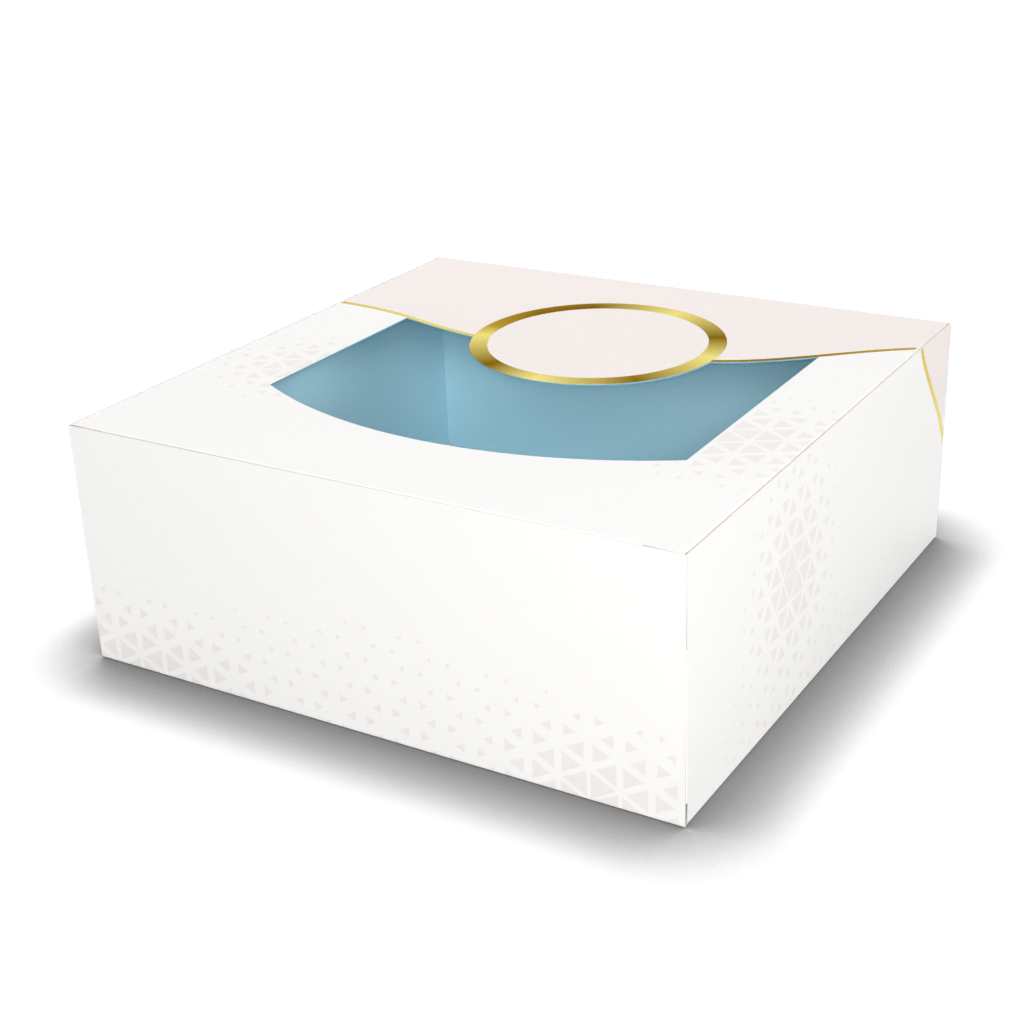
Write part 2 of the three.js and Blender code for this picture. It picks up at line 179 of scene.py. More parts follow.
def printed_board(name, lattice=None, spots=(), band=None, disc=None, folds=()):
    """Printed board. lattice is the line spacing and side of the triangles and one of their corners; each
    spot is where they are largest, how far they reach and their size there; band is where the blush starts,
    as points (u, v) of the sheet in order of u, and which side of them it is on; disc is a blush disc; folds
    are the lines, as an axis and a place, where folding has cracked the ink a little."""
    material, tree, shader = finish_named(name)
    place = add(tree, "Attribute", out="Vector", attribute_name="sheet")
    sheet_u, sheet_v = add(tree, "SeparateXYZ", {0: place}).node.outputs[:2]
    ink = BOARD_WHITE
    if lattice:
        spacing, side, corner_u, corner_v = lattice
        from_corner = add(tree, "VectorMath", {0: place, 1: (corner_u, corner_v, 0)}, operation="SUBTRACT")
        per_step = (1 / spacing, 1 / side, 0)
        steps = add(tree, "VectorMath", {0: from_corner, 1: per_step}, operation="MULTIPLY")
        families = [
            add(tree, "VectorMath", {0: steps, 1: way}, out="Value", operation="DOT_PRODUCT")
            for way in ((1, 0, 0), (-0.5, 1, 0), (-0.5, -1, 0))
        ]
        cell = add(tree, "CombineXYZ", dict(enumerate(families)))
        share = add(tree, "VectorMath", {0: cell}, operation="FRACTION")
        whole = add(tree, "VectorMath", {0: cell}, operation="FLOOR")
        total = add(tree, "VectorMath", {0: share, 1: (1, 1, 1)}, out="Value", operation="DOT_PRODUCT")
        mirrored = add(tree, "Math", {0: total, 1: 1.5}, operation="GREATER_THAN")
        turned = add(tree, "VectorMath", {0: mirrored, 1: share}, operation="SUBTRACT")
        to_sides = add(tree, "VectorMath", {0: turned}, operation="ABSOLUTE")
        one, two, three = add(tree, "SeparateXYZ", {0: to_sides}).node.outputs
        nearer = add(tree, "Math", {0: one, 1: two}, operation="MINIMUM")
        nearest = add(tree, "Math", {0: nearer, 1: three}, operation="MINIMUM")
        third = add(tree, "Math", {0: mirrored, 1: 1 / 3, 2: 1 / 3}, operation="MULTIPLY_ADD")
        middle = add(tree, "VectorMath", {0: whole, 1: third}, operation="ADD")
        across_and_along = [
            add(tree, "VectorMath", {0: middle, 1: way}, out="Value", operation="DOT_PRODUCT")
            for way in ((spacing, 0, 0), (0, side / 2, -side / 2))
        ]
        centre = add(tree, "CombineXYZ", dict(enumerate(across_and_along)))
        size = 0.0
        for u, v, reach_u, reach_v, largest in spots:
            at = (u - corner_u, v - corner_v, 0)
            off = add(tree, "VectorMath", {0: centre, 1: at}, operation="SUBTRACT")
            reach = add(tree, "VectorMath", {0: off, 1: (1 / reach_u, 1 / reach_v, 0)}, operation="MULTIPLY")
            far = add(tree, "VectorMath", {0: reach}, out="Value", operation="LENGTH")
            here = add(tree, "MapRange", {"Value": far, "To Min": largest, "To Max": FAR_TRIANGLE})
            size = add(tree, "Math", {0: size, 1: here}, operation="MAXIMUM")
        edge = add(tree, "Math", {0: size, 1: -1 / 3, 2: 1 / 3}, operation="MULTIPLY_ADD")
        past = add(tree, "Math", {0: nearest, 1: edge}, operation="SUBTRACT")
        solid = add(tree, "MapRange", {"Value": past, "From Min": -TRIANGLE_BLUR, "From Max": TRIANGLE_BLUR})
        shown = add(tree, "Math", {0: size, 1: LEAST_TRIANGLE}, operation="GREATER_THAN")
        triangle = add(tree, "Math", {0: solid, 1: shown}, operation="MULTIPLY")
        ink = add(tree, "Mix", {0: triangle, 6: ink, 7: TRIANGLE_TINT}, out=2, data_type="RGBA")
    if band:
        points, behind = band
        low_u, high_u = points[0][0], points[-1][0]
        low_v, high_v = min(p[1] for p in points), max(p[1] for p in points)
        share_u = add(tree, "MapRange", {"Value": sheet_u, "From Min": low_u, "From Max": high_u})
        line = add(tree, "FloatCurve", {"Value": share_u})
        curve = line.node.mapping.curves[0]
        spread = [((u - low_u) / (high_u - low_u), (v - low_v) / (high_v - low_v)) for u, v in points]
        curve.points[0].location, curve.points[-1].location = spread[0], spread[-1]
        for at in spread[1:-1]:
            curve.points.new(*at)
        for point in curve.points:
            point.handle_type = "VECTOR"
        line.node.mapping.update()
        line_v = add(tree, "Math", {0: line, 1: high_v - low_v, 2: low_v}, operation="MULTIPLY_ADD")
        past_line = add(tree, "Math", {0: sheet_v, 1: line_v}, operation="SUBTRACT")
        blur = BAND_BLUR * behind
        within = add(tree, "MapRange", {"Value": past_line, "From Min": -blur, "From Max": blur})
        if disc:
            to_disc = add(tree, "VectorMath", {0: place, 1: (*disc[:2], 0)}, operation="SUBTRACT")
            flat = add(tree, "VectorMath", {0: to_disc, 1: (1, 1, 0)}, operation="MULTIPLY")
            out = add(tree, "VectorMath", {0: flat}, out="Value", operation="LENGTH")
            inside = add(tree, "Math", {0: out, 1: disc[2]}, operation="LESS_THAN")
            within = add(tree, "Math", {0: within, 1: inside}, operation="MAXIMUM")
        ink = add(tree, "Mix", {0: within, 6: ink, 7: BLUSH}, out=2, data_type="RGBA")
    mottle = add(tree, "TexNoise", {"Vector": place, "Scale": 1 / MOTTLE_MM, "Detail": 3, "Roughness": 0.6})
    worn = 0.0
    for axis, at in folds:
        off = add(tree, "Math", {0: sheet_u if axis == "u" else sheet_v, 1: at}, operation="SUBTRACT")
        gap = add(tree, "Math", {0: off}, operation="ABSOLUTE")
        wear = {"Value": gap, "From Min": WORN_NEAR, "From Max": WORN_FAR, "To Min": WORN_MOST, "To Max": 0}
        near = add(tree, "MapRange", wear)
        worn = add(tree, "Math", {0: worn, 1: near}, operation="MAXIMUM")
    fibre = add(tree, "TexNoise", {"Vector": place, "Scale": 1 / FIBRE_MM, "Detail": 2})
    if folds:
        between = add(tree, "MapRange", {"Value": fibre, "From Min": 0.45, "From Max": 0.65})
        crack = add(tree, "Math", {0: worn, 1: between}, operation="MULTIPLY")
        ink = add(tree, "Mix", {0: crack, 6: ink, 7: CRACKED_INK}, out=2, data_type="RGBA")
    tone = add(tree, "MapRange", {"Value": mottle, "From Min": 0.3, "From Max": 0.7, "To Min": 0.985})
    shaded = add(tree, "Mix", {0: 1, 6: ink, 7: tone}, out=2, data_type="RGBA", blend_type="MULTIPLY")
    gloss = add(tree, "MapRange", {"Value": mottle, "To Min": 0.5, "To Max": 0.38})
    cockle = add(tree, "TexNoise", {"Vector": place, "Scale": 1 / COCKLE_MM, "Detail": 1})
    sheet_bump = add(tree, "Bump", {"Strength": 0.5, "Distance": 0.0006, "Height": cockle})
    bump = add(tree, "Bump", {"Strength": 0.15, "Distance": 0.00005, "Height": fibre, "Normal": sheet_bump})
    feed(shader, {"Base Color": shaded, "Roughness": gloss, "Normal": bump, "IOR": 1.5})
    return material


plain_board = printed_board("white_coated_boxboard")

# The inside of the sheet, flooded in one flat blue ink without varnish: matt, with the ink a little thinner
# here and there over the board's fibres. It stops short of the creases and of the strips that take glue.
BLUE, THIN_BLUE = colour("#bfebf8"), colour("#c6f0fb")
PATCH_MM = 6.0
BARE_RIM = (HALF + 0.6, 2.4)  # middle and half width of the bare strip along the lid's edges and walls' tops
BARE_END = (HALF + 0.2, 0.85)  # the same on the ends of the front and back walls, which take glue


def from_middle(tree, place):
    """A point's distances from the sheet's middle along u and v, and the larger and smaller of the two."""
    away = add(tree, "VectorMath", {0: place}, operation="ABSOLUTE")
    u, v = add(tree, "SeparateXYZ", {0: away}).node.outputs[:2]
    larger = add(tree, "Math", {0: u, 1: v}, operation="MAXIMUM")
    smaller = add(tree, "Math", {0: u, 1: v}, operation="MINIMUM")
    return u, v, larger, smaller


inside_ink, tree, shader = finish_named("flat_blue_ink_on_boxboard")
place = add(tree, "Attribute", out="Vector", attribute_name="sheet")
patches = add(tree, "TexNoise", {"Vector": place, "Scale": 1 / PATCH_MM, "Detail": 4, "Roughness": 0.65})
blue = add(tree, "Mix", {0: patches, 6: BLUE, 7: THIN_BLUE}, out=2, data_type="RGBA")
u, v, larger, smaller = from_middle(tree, place)
by_rim = add(tree, "Math", {0: larger, 1: BARE_RIM[0], 2: BARE_RIM[1]}, operation="COMPARE")
on_panel = add(tree, "Math", {0: smaller, 1: HALF}, operation="LESS_THAN")
bare_rim = add(tree, "Math", {0: by_rim, 1: on_panel}, operation="MULTIPLY")
by_end = add(tree, "Math", {0: u, 1: BARE_END[0], 2: BARE_END[1]}, operation="COMPARE")
on_end_wall = add(tree, "Math", {0: v, 1: HALF}, operation="GREATER_THAN")
bare_end = add(tree, "Math", {0: by_end, 1: on_end_wall}, operation="MULTIPLY")
bare = add(tree, "Math", {0: bare_rim, 1: bare_end}, operation="MAXIMUM")
ink = add(tree, "Mix", {0: bare, 6: blue, 7: BOARD_WHITE}, out=2, data_type="RGBA")
fibre = add(tree, "TexNoise", {"Vector": place, "Scale": 1 / FIBRE_MM, "Detail": 2})
bump = add(tree, "Bump", {"Strength": 0.2, "Distance": 0.00006, "Height": fibre})
gloss = add(tree, "MapRange", {"Value": patches, "To Min": 0.62, "To Max": 0.52})
feed(shader, {"Base Color": ink, "Roughness": gloss, "Normal": bump})

# A die-cut edge: the board's layered core between the white coating and the blue ink, rough and faintly
# fibrous, which draws a thin warm line round every panel. The ink has run over the edges of the tabs, which
# are painted paler there as light against the shade line along them. The window's edges are painted the blue
# of the inside as it looks in shade, and those of the slots at the foot a grey that is painted shade.
WISP_MM = 0.5
SLOTS_FROM, TABS_FROM, WINDOW_WITHIN = HALF + HEIGHT - 9, HALF + 2, HALF - 15  # mm from the sheet's middle
# painted shade on the slots' and the window's edges, and painted light on the ink of the tabs' edges
SLOT_PAINTED_SHADE, TAB_INK_PAINTED_LIGHT, WINDOW_BLUE_PAINTED_SHADE = colour("#b3ada9"), colour("#dcf5fc"), colour("#86b4c4")
cut_edge, tree, shader = finish_named("cut_boxboard_edge")
place = add(tree, "Attribute", out="Vector", attribute_name="sheet")
depth = add(tree, "SeparateXYZ", {0: place}, out=2)
through = add(tree, "MapRange", {"Value": depth, "From Max": BOARD})
layers = add(tree, "ValToRGB", {0: through})
stops = layers.node.color_ramp.elements
stops[0].position, stops[0].color = 0.08, colour("#f6f1ee")
stops[1].position, stops[1].color = 0.97, colour("#c8dfe6")
stops.new(0.2).color = colour("#e8dad6")
stops.new(0.86).color = colour("#e4d5d0")
wisps = add(tree, "TexNoise", {"Vector": place, "Scale": 1 / WISP_MM, "Detail": 3})
tone = add(tree, "MapRange", {"Value": wisps, "To Min": 0.9, "To Max": 1.05})
shaded = add(tree, "VectorMath", {0: layers, "Scale": tone}, operation="SCALE")
bump = add(tree, "Bump", {"Strength": 0.4, "Distance": 0.00005, "Height": wisps})
u, v, larger, smaller = from_middle(tree, place)
on_slot = add(tree, "Math", {0: u, 1: SLOTS_FROM}, operation="GREATER_THAN")
on_tab = add(tree, "Math", {0: smaller, 1: TABS_FROM}, operation="GREATER_THAN")
on_window = add(tree, "Math", {0: larger, 1: WINDOW_WITHIN}, operation="LESS_THAN")
# the slots', tabs' and window's edges take their painted shade and painted light here
edge = shaded
for where, tone in ((on_slot, SLOT_PAINTED_SHADE), (on_tab, TAB_INK_PAINTED_LIGHT), (on_window, WINDOW_BLUE_PAINTED_SHADE)):
    edge = add(tree, "Mix", {0: where, 6: edge, 7: tone}, out=2, data_type="RGBA")
feed(shader, {"Base Color": edge, "Roughness": 0.8, "Normal": bump})

base = cut_board(
    "base_board",
    [[(x * BASE_EDGE, y * BASE_EDGE, 0) for x, y in ((-1, -1), (1, -1), (1, 1), (-1, 1))]],
    lambda a, b, depth: (a, b, depth),
    lambda a, b: (a, b),
    (plain_board, inside_ink, cut_edge),
)
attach(base, "tray")
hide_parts("base_panel")

# Front and back walls. Each folds up from the base on a rolled crease and covers the full width, so that its
# two cut ends show at the corners. The back wall runs on into the lid.

HINGED_TOP = HEIGHT - CREASE  # where the back wall starts to roll over into the lid
LID_HALF = 1000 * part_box("lid_panel")[1].x
SHEET_EDGE = HALF + HEIGHT  # from the middle of the flat print to the bottom of a wall
FRONT_LATTICE = (11.6, 12.5, -1.1, -SHEET_EDGE)
FRONT_SPOTS = (
    (95, -SHEET_EDGE + 2, 60, 37, 0.94),
    (-104, -SHEET_EDGE + 3, 92, 34, 0.82),
    (14, -SHEET_EDGE, 150, 52, 0.38),
)
BACK_LATTICE = (*FRONT_LATTICE[:3], SHEET_EDGE)
BACK_SPOTS = ((-92, SHEET_EDGE - 9, 56, 30, 0.8), (20, SHEET_EDGE, 150, 26, 0.4))
BACK_LINE = ((127, 44), (120.16, 25.21), (-67, 30), (-127, 30))  # handles of the gold line, in x and z
BAND_POINTS = 24  # along the band's edge on a wall


def turned(quarters, x, y):
    """A point turned about the middle of the box by quarter turns: 0 front, 1 right, 2 back, 3 left."""
    for _ in range(quarters):
        x, y = -y, x
    return x, y


def raised(b, depth):
    """How far out and how high a wall's board is, b mm of board up from the base's edge."""
    if b >= ROLL:
        return HALF - depth, CREASE + b - ROLL
    angle, radius = b / ROLL * math.pi / 2, CREASE - depth
    return BASE_EDGE + radius * math.sin(angle), CREASE - radius * math.cos(angle)


def up(z):
    """The board from the base's edge to height z on a wall."""
    return z - CREASE + ROLL


def curve_points(handles, count):
    """Points along a cubic curve."""
    p0, p1, p2, p3 = (Vector(p) for p in handles)
    points = []
    for i in range(count + 1):
        t = i / count
        s = 1 - t
        points.append(p0 * s**3 + 3 * p1 * t * s**2 + 3 * p2 * t * t * s + p3 * t**3)
    return points


def end_wall(name, quarters, top, finish):
    """The front or back wall. One that ends below the box's top rolls on into the lid there."""
    loop = [
        (-HALF, 0, 0),
        (HALF, 0, 0),
        (HALF, up(top)),
        *([(LID_HALF, up(top), 0), (-LID_HALF, up(top), 0)] if top < HEIGHT else []),
        (-HALF, up(top)),
    ]

    def place(a, b, depth):
        out, z = raised(b, depth)
        return (*turned(quarters, a, -out), z)

    wall = cut_board(
        name,
        [loop],
        place,
        lambda a, b: turned(quarters, a, b - up(0) - SHEET_EDGE),
        (finish, inside_ink, cut_edge),
        [(1, 0, ROLL)],
    )
    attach(wall, "tray")
    return wall


front_print = printed_board("boxboard_front_print", FRONT_LATTICE, FRONT_SPOTS, folds=[("v", -SHEET_EDGE)])
front_wall = end_wall("front_wall_board", 0, HEIGHT, front_print)
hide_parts("front_wall")

back_band = [(p.x, SHEET_EDGE - p.y) for p in reversed(curve_points(BACK_LINE, BAND_POINTS))]
back_print = printed_board(
    "boxboard_back_print", BACK_LATTICE, BACK_SPOTS, (back_band, -1), folds=[("v", SHEET_EDGE)]
)
back_wall = end_wall("back_wall_board", 2, HINGED_TOP, back_print)
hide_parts("back_wall")

# Side walls, which stand between the front and back walls, each with two tabs folded round from its ends and
# glued behind those walls. The tabs taper, and their free corners are rounded so that they slide in easily.

WALL_END = HALF - BOARD - 0.3  # where a side wall stops short of the front and back walls
TAB_CREASE = 0.62  # outside radius of the tabs' tighter folds
TAB_ROLL = math.pi / 2 * (TAB_CREASE - BOARD / 2)
TAB_FOLD = WALL_END - TAB_CREASE  # where the fold to a tab begins
TAB_REACH = 34.28  # past the fold
TAB_END = TAB_FOLD + TAB_ROLL + TAB_REACH
TAB_BOTTOM, TAB_TOP, TAB_TAPER, TAB_ROUNDING = 2.1, 65.1, 5.0, 6.0
TAB_PRESS, TAB_GLUED = 0.26, 26.0  # the tabs' ends are pressed on to the walls, from the glue's end on
RELIEF = 0.4  # slit between a tab and the wall's free edge
SLOT_TOP, SLOT_IN = 8.6, 0.35  # slot along the foot of a front fold, and how far it reaches into the wall
RIGHT_LINE = ((89.5, 98), (98.89, 80.34), (120.16, 62.79), (127, 44))  # handles of the gold line, in y and z
LEFT_LINE = ((44.6, 98), (44.6, 62), (67, 30), (127, 30))
SIDE_SPOTS = ((SHEET_EDGE - 54, -40, 55, 46, 0.98), (SHEET_EDGE - 6, -38, 60, 74, 0.35))
SIDE_LATTICE = (10.77, 13.23, SHEET_EDGE - 1.19, 10.74)
ROUND_BACK = 127.5  # where the band ends on a side wall, round the corner


def rounded(corners, steps=6):
    """A loop whose corners are (a, b) or (a, b, None, rounding), the rounded ones drawn as short curves."""
    loop = []
    for i, corner in enumerate(corners):
        if len(corner) < 4:
            loop.append(corner)
            continue
        around = corner, corners[i - 1], corners[(i + 1) % len(corners)]
        here, before, after = (Vector(c[:2]) for c in around)
        start = here + (before - here).normalized() * corner[3]
        end = here + (after - here).normalized() * corner[3]
        for step in range(steps + 1):
            t = step / steps
            loop.append(tuple(start * (1 - t) ** 2 + here * 2 * t * (1 - t) + end * t * t))
    return loop


def side_wall(name, quarters, finish):
    """A side wall with its tabs. The fold of the front one is slotted at its foot."""
    slotted = [
        (TAB_FOLD - SLOT_IN, up(CREASE)),
        (TAB_FOLD - SLOT_IN, up(SLOT_TOP)),
        (TAB_FOLD + TAB_ROLL, up(SLOT_TOP)),
        (TAB_FOLD + TAB_ROLL, up(TAB_BOTTOM) + RELIEF / 2),
    ]
    slit = up(TAB_BOTTOM - RELIEF)
    closed = [(WALL_END, slit), (TAB_FOLD, slit), (TAB_FOLD, up(TAB_BOTTOM))]
    rest = [
        (TAB_END, up(TAB_BOTTOM + TAB_TAPER), None, TAB_ROUNDING),
        (TAB_END, up(TAB_TOP - TAB_TAPER), None, TAB_ROUNDING),
        (TAB_FOLD, up(TAB_TOP)),
        (TAB_FOLD, up(TAB_TOP + RELIEF)),
        (WALL_END, up(TAB_TOP + RELIEF)),
        (WALL_END, up(HEIGHT)),
    ]
    feet = (closed, slotted) if quarters == 1 else (slotted, closed)
    ends = [[(WALL_END, 0, 0), *foot, *rest] for foot in feet]
    loop = rounded(ends[0] + [(-c[0], *c[1:]) for c in reversed(ends[1])])

    def place(a, b, depth):
        out, z = raised(b, depth)
        if abs(a) > TAB_FOLD and up(TAB_BOTTOM) - RELIEF / 2 < b < up(TAB_TOP) + RELIEF / 2:
            turn = min((abs(a) - TAB_FOLD) / TAB_ROLL, 1) * math.pi / 2
            past = max(abs(a) - TAB_FOLD - TAB_ROLL, 0)
            radius = TAB_CREASE - depth
            out = HALF - TAB_CREASE + radius * math.cos(turn) - past
            pressed = TAB_PRESS * min(past / TAB_GLUED, 1) ** 4
            a = math.copysign(TAB_FOLD + radius * math.sin(turn) + pressed, a)
        return (*turned(quarters, a, -out), z)

    wall = cut_board(
        name,
        [loop],
        place,
        lambda a, b: turned(quarters, a, b - up(0) - SHEET_EDGE),
        (finish, inside_ink, cut_edge),
        [(1, 0, ROLL), (0, TAB_FOLD, TAB_FOLD + TAB_ROLL), (0, -TAB_FOLD, -TAB_FOLD - TAB_ROLL)],
    )
    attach(wall, "tray")
    return wall


for side, quarters, way, line in (("right", 1, 1, RIGHT_LINE), ("left", 3, -1, LEFT_LINE)):
    band = [(way * (SHEET_EDGE - p.y), p.x) for p in curve_points(line, BAND_POINTS)]
    band.append((way * SHEET_EDGE, ROUND_BACK))
    spacing, triangle, u, v = SIDE_LATTICE
    side_print = printed_board(
        f"boxboard_{side}_print",
        (spacing, triangle, way * u, v),
        [(way * spot[0], *spot[1:]) for spot in SIDE_SPOTS],
        (band[::way], 1),
        folds=[("u", way * SHEET_EDGE), ("v", TAB_FOLD)],
    )
    wall = side_wall(f"{side}_wall_board", quarters, side_print)
    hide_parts(f"{side}_wall", f"front_{side}_tab", f"back_{side}_tab")

# Glue in the corners: cold glue rolled on each tab and pressed flat against the wall. It sets cream and
# slightly glossy, with small bubbles and streaks.

GLUE_CREAM, GLUE_PALE = colour("#e9dfc8"), colour("#f4eee0")
STREAK_MM = 3.0
cold_glue, tree, shader = finish_named("set_cold_glue")
here = add(tree, "TexCoord", out="Object")
streaks = add(tree, "TexNoise", {"Vector": here, "Scale": 1000 / STREAK_MM, "Detail": 4, "Distortion": 0.6})
tint = add(tree, "Mix", {0: streaks, 6: GLUE_CREAM, 7: GLUE_PALE}, out=2, data_type="RGBA")
bump = add(tree, "Bump", {"Strength": 0.4, "Distance": 0.0001, "Height": streaks})
gloss = add(tree, "MapRange", {"Value": streaks, "To Min": 0.3, "To Max": 0.5})
feed(shader, {"Base Color": tint, "Roughness": gloss, "Normal": bump})
for name in ("front_left_glue", "front_right_glue", "back_left_glue", "back_right_glue"):
    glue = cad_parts[name]
    glue.data.materials.clear()
    glue.data.materials.append(cold_glue)

# Lid. It is the last panel of the blank, with the window cut out of it: bowed at the front, straight at the
# sides, and at the back along the gold line and round the ring. Its front and sides roll over into flaps.

LID_FLAT = LID_HALF - CREASE  # where the lid starts to roll over into a flap
SIDE_FLAP = (-LID_HALF + 1.5, HALF - 4)  # from where to where a side flap runs
TUCK_END = 112.0  # the tuck flap's crease is slit from here to its ends, which lets the side flaps lock in
WINDOW = (-86.0, 94.0, -58.0, 24.5)  # left, right, front corners, bow of the front edge
WINDOW_LAP, RING_LAP = 1.33, 0.13  # from the middle of the gold line and the edge of the ring to the window
BOW_STEPS = 48
LINE_STEPS, EDGE_STEP = 960, 36  # points on a stretch of the gold line, and between two on the window
RING_CLEAR, SIDE_CLEAR = 12, 24  # such points passed over next to the ring and to the window's sides
ARC_STEPS = 64
RING_X, RING_Y, RING_INNER, RING_OUTER = 5.0, 43.5, 45.6, 53.0
LID_LINE = (
    ((-127, 44.6), (-82, 44.6), (-70, 27), (-25, 27)),
    ((-25, 27), (5, 27), (14, 38), (44, 38)),
    ((44, 38), (74, 38), (100.51, 75.42), (127, 89.5)),
)
LID_LATTICE = (11.6, 13.4, 1.9, -26.1)
LID_SPOTS = ((104, -31, 50, 48, 0.93), (-84, -34, 47, 43, 0.93))


def lid_line(count):
    """Points along the gold line on the lid, from left to right."""
    stretches = [curve_points(handles, count) for handles in LID_LINE]
    return stretches[0] + stretches[1][1:] + stretches[2][1:]


def beside(points, distance):
    """A line moved sideways, to the left of its direction."""
    moved = []
    for i, p in enumerate(points):
        way = (points[min(i + 1, len(points) - 1)] - points[max(i - 1, 0)]).normalized()
        moved.append(p + Vector((-way.y, way.x)) * distance)
    return moved


ring_centre = Vector((RING_X, RING_Y))
window_ring = RING_OUTER + RING_LAP
left, right, front, bow = WINDOW
half_bow = (right - left) / 2
bow_radius = (half_bow**2 + bow**2) / (2 * bow)
bow_reach = math.asin(half_bow / bow_radius)
window = []
for i in range(BOW_STEPS + 1):
    angle = bow_reach * (1 - 2 * i / BOW_STEPS)
    x = (left + right) / 2 + bow_radius * math.sin(angle)
    window.append((x, front - bow + bow_radius * (1 - math.cos(angle))))
back_edge = [p for p in beside(lid_line(LINE_STEPS), -WINDOW_LAP) if left < p.x < right]
before_ring = [p for p in back_edge if p.x < RING_X and (p - ring_centre).length > window_ring]
after_ring = [p for p in back_edge if p.x > RING_X and (p - ring_centre).length > window_ring]
starts, ends = (math.atan2(p.y - RING_Y, p.x - RING_X) for p in (before_ring[-1], after_ring[0]))
starts -= 2 * math.pi if starts > 0 else 0
ends -= 2 * math.pi if ends > math.pi / 2 else 0
round_ring = [
    ring_centre + window_ring * Vector((math.cos(a), math.sin(a)))
    for a in [starts + (ends - starts) * i / ARC_STEPS for i in range(ARC_STEPS + 1)]
]
window.append((left, before_ring[0].y))
window += before_ring[-RING_CLEAR:SIDE_CLEAR:-EDGE_STEP][::-1] + round_ring
window += after_ring[RING_CLEAR:-SIDE_CLEAR:EDGE_STEP]
window.append((right, after_ring[-1].y))

side_notch = [(LID_HALF, SIDE_FLAP[0]), (LID_FLAT, SIDE_FLAP[0], 0)]
side_notch += [(LID_FLAT, SIDE_FLAP[1], 0), (LID_HALF, SIDE_FLAP[1])]
lid_loop = [
    (-LID_HALF, -LID_HALF),
    (-TUCK_END, -LID_HALF),
    (-TUCK_END, -LID_FLAT, 0),
    (TUCK_END, -LID_FLAT, 0),
    (TUCK_END, -LID_HALF),
    (LID_HALF, -LID_HALF),
    *side_notch,
    (LID_HALF, BASE_EDGE, 0),
    (-LID_HALF, BASE_EDGE, 0),
    *[(-c[0], *c[1:]) for c in reversed(side_notch)],
]
lid_print = printed_board(
    "boxboard_lid_print",
    LID_LATTICE,
    LID_SPOTS,
    (lid_line(BAND_POINTS // 2), 1),
    (RING_X, RING_Y, (RING_INNER + RING_OUTER) / 2),
    folds=[("v", HALF), ("v", -HALF), ("u", HALF), ("u", -HALF)],
)
lid = cut_board(
    "lid_board",
    [lid_loop, window],
    lambda a, b, depth: (a, b, HEIGHT - depth),
    lambda a, b: (a, b),
    (lid_print, inside_ink, cut_edge),
)
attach(lid, "lid")
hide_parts("lid_panel")

# Creases of the lid: the rolled folds, pressed into the board before it is folded, on which the lid turns
# about the back wall and each flap turns about the lid.


def crease(name, quarters, edge, begin, end, bodies):
    """A fold along one edge of the lid, made where it lies at rest. bodies, the two that it joins, changes
    nothing: both of its cases are alike.
    """
    centre, middle, low = edge - CREASE, CREASE - BOARD / 2, HEIGHT - CREASE

    def place(a, b, depth):
        angle, radius = b / ROLL * math.pi / 2, CREASE - depth
        out = centre + radius * math.sin(angle)
        return (*turned(quarters, a, -out), low + radius * math.cos(angle))

    strip = cut_board(
        name,
        [[(end, 0, 0), (end, ROLL, 0), (begin, ROLL, 0), (begin, 0, 0)]],
        place,
        lambda a, b: turned(quarters, a, -centre - b / ROLL * 2 * CREASE),
        (lid_print, inside_ink, inside_ink),
        [(1, 0, ROLL)],
    )
    if bodies[0] == "lid":
        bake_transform(strip)
    else:
        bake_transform(strip)


crease("lid_crease", 2, HALF, -LID_HALF, LID_HALF, ("tray", "lid"))
crease("tuck_crease", 0, LID_HALF, -TUCK_END, TUCK_END, ("lid", "front_flap"))
crease("right_crease", 1, LID_HALF, *SIDE_FLAP, ("lid", "right_side_flap"))
crease("left_crease", 3, LID_HALF, -SIDE_FLAP[1], -SIDE_FLAP[0], ("lid", "left_side_flap"))

# Tuck flap along the lid's front. Board, with mitred ends and rounded corners so that it finds its way in
# behind the front wall, where it leans inwards a little.

FLAP_PIVOT = LID_HALF - BOARD
FLAP_TOP, FLAP_BOTTOM = -0.3, -28.3
FLAP_ROUNDING = 7.0
FLAP_MITRE = 28.0
LEAN = math.asin((1000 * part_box("tuck_flap")[1].y + FLAP_PIVOT) / -FLAP_BOTTOM)
FLAP_END = LID_HALF - 1.5
SLIT = 0.4  # from the crease's end to the flap's free top edge
right_half = [
    (FLAP_END - FLAP_MITRE, FLAP_BOTTOM, None, FLAP_ROUNDING),
    (FLAP_END, FLAP_TOP),
    (TUCK_END + SLIT, FLAP_TOP),
    (TUCK_END, FLAP_TOP, 0),
]
tuck_loop = rounded([(-c[0], *c[1:]) for c in reversed(right_half)] + right_half)
tuck = cut_board(
    "tuck_flap_board",
    [tuck_loop],
    lambda a, b, depth: (
        a,
        -FLAP_PIVOT - b * math.sin(LEAN) - (BOARD - depth) * math.cos(LEAN),
        HEIGHT - BOARD + b * math.cos(LEAN) - (BOARD - depth) * math.sin(LEAN),
    ),
    lambda a, b: (a, b),
    (plain_board, inside_ink, cut_edge),
)
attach(tuck, "front_flap")
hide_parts("tuck_flap")

# Side flaps of the lid, one along each side. Board, mitred at the front so that all three flaps fold in
# together, and tapered at the back to clear the hinge.

FLAP_TAPER = 12.0


def side_flap(name, quarters, body, node):
    """The flap on the lid's right or left."""
    way = 1 if quarters == 1 else -1
    start, end = SIDE_FLAP
    corners = [
        (start, FLAP_TOP, 0),
        (start + FLAP_MITRE, FLAP_BOTTOM, None, FLAP_ROUNDING),
        (end - FLAP_TAPER, FLAP_BOTTOM, None, FLAP_ROUNDING),
        (end, FLAP_TOP, 0),
    ]
    loop = rounded([(way * c[0], *c[1:]) for c in corners][::way])
    flap = cut_board(
        name,
        [loop],
        lambda a, b, depth: (*turned(quarters, a, depth - LID_HALF), HEIGHT - BOARD + b),
        lambda a, b: (a, b),
        (plain_board, inside_ink, cut_edge),
    )
    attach(flap, body)
    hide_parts(node)


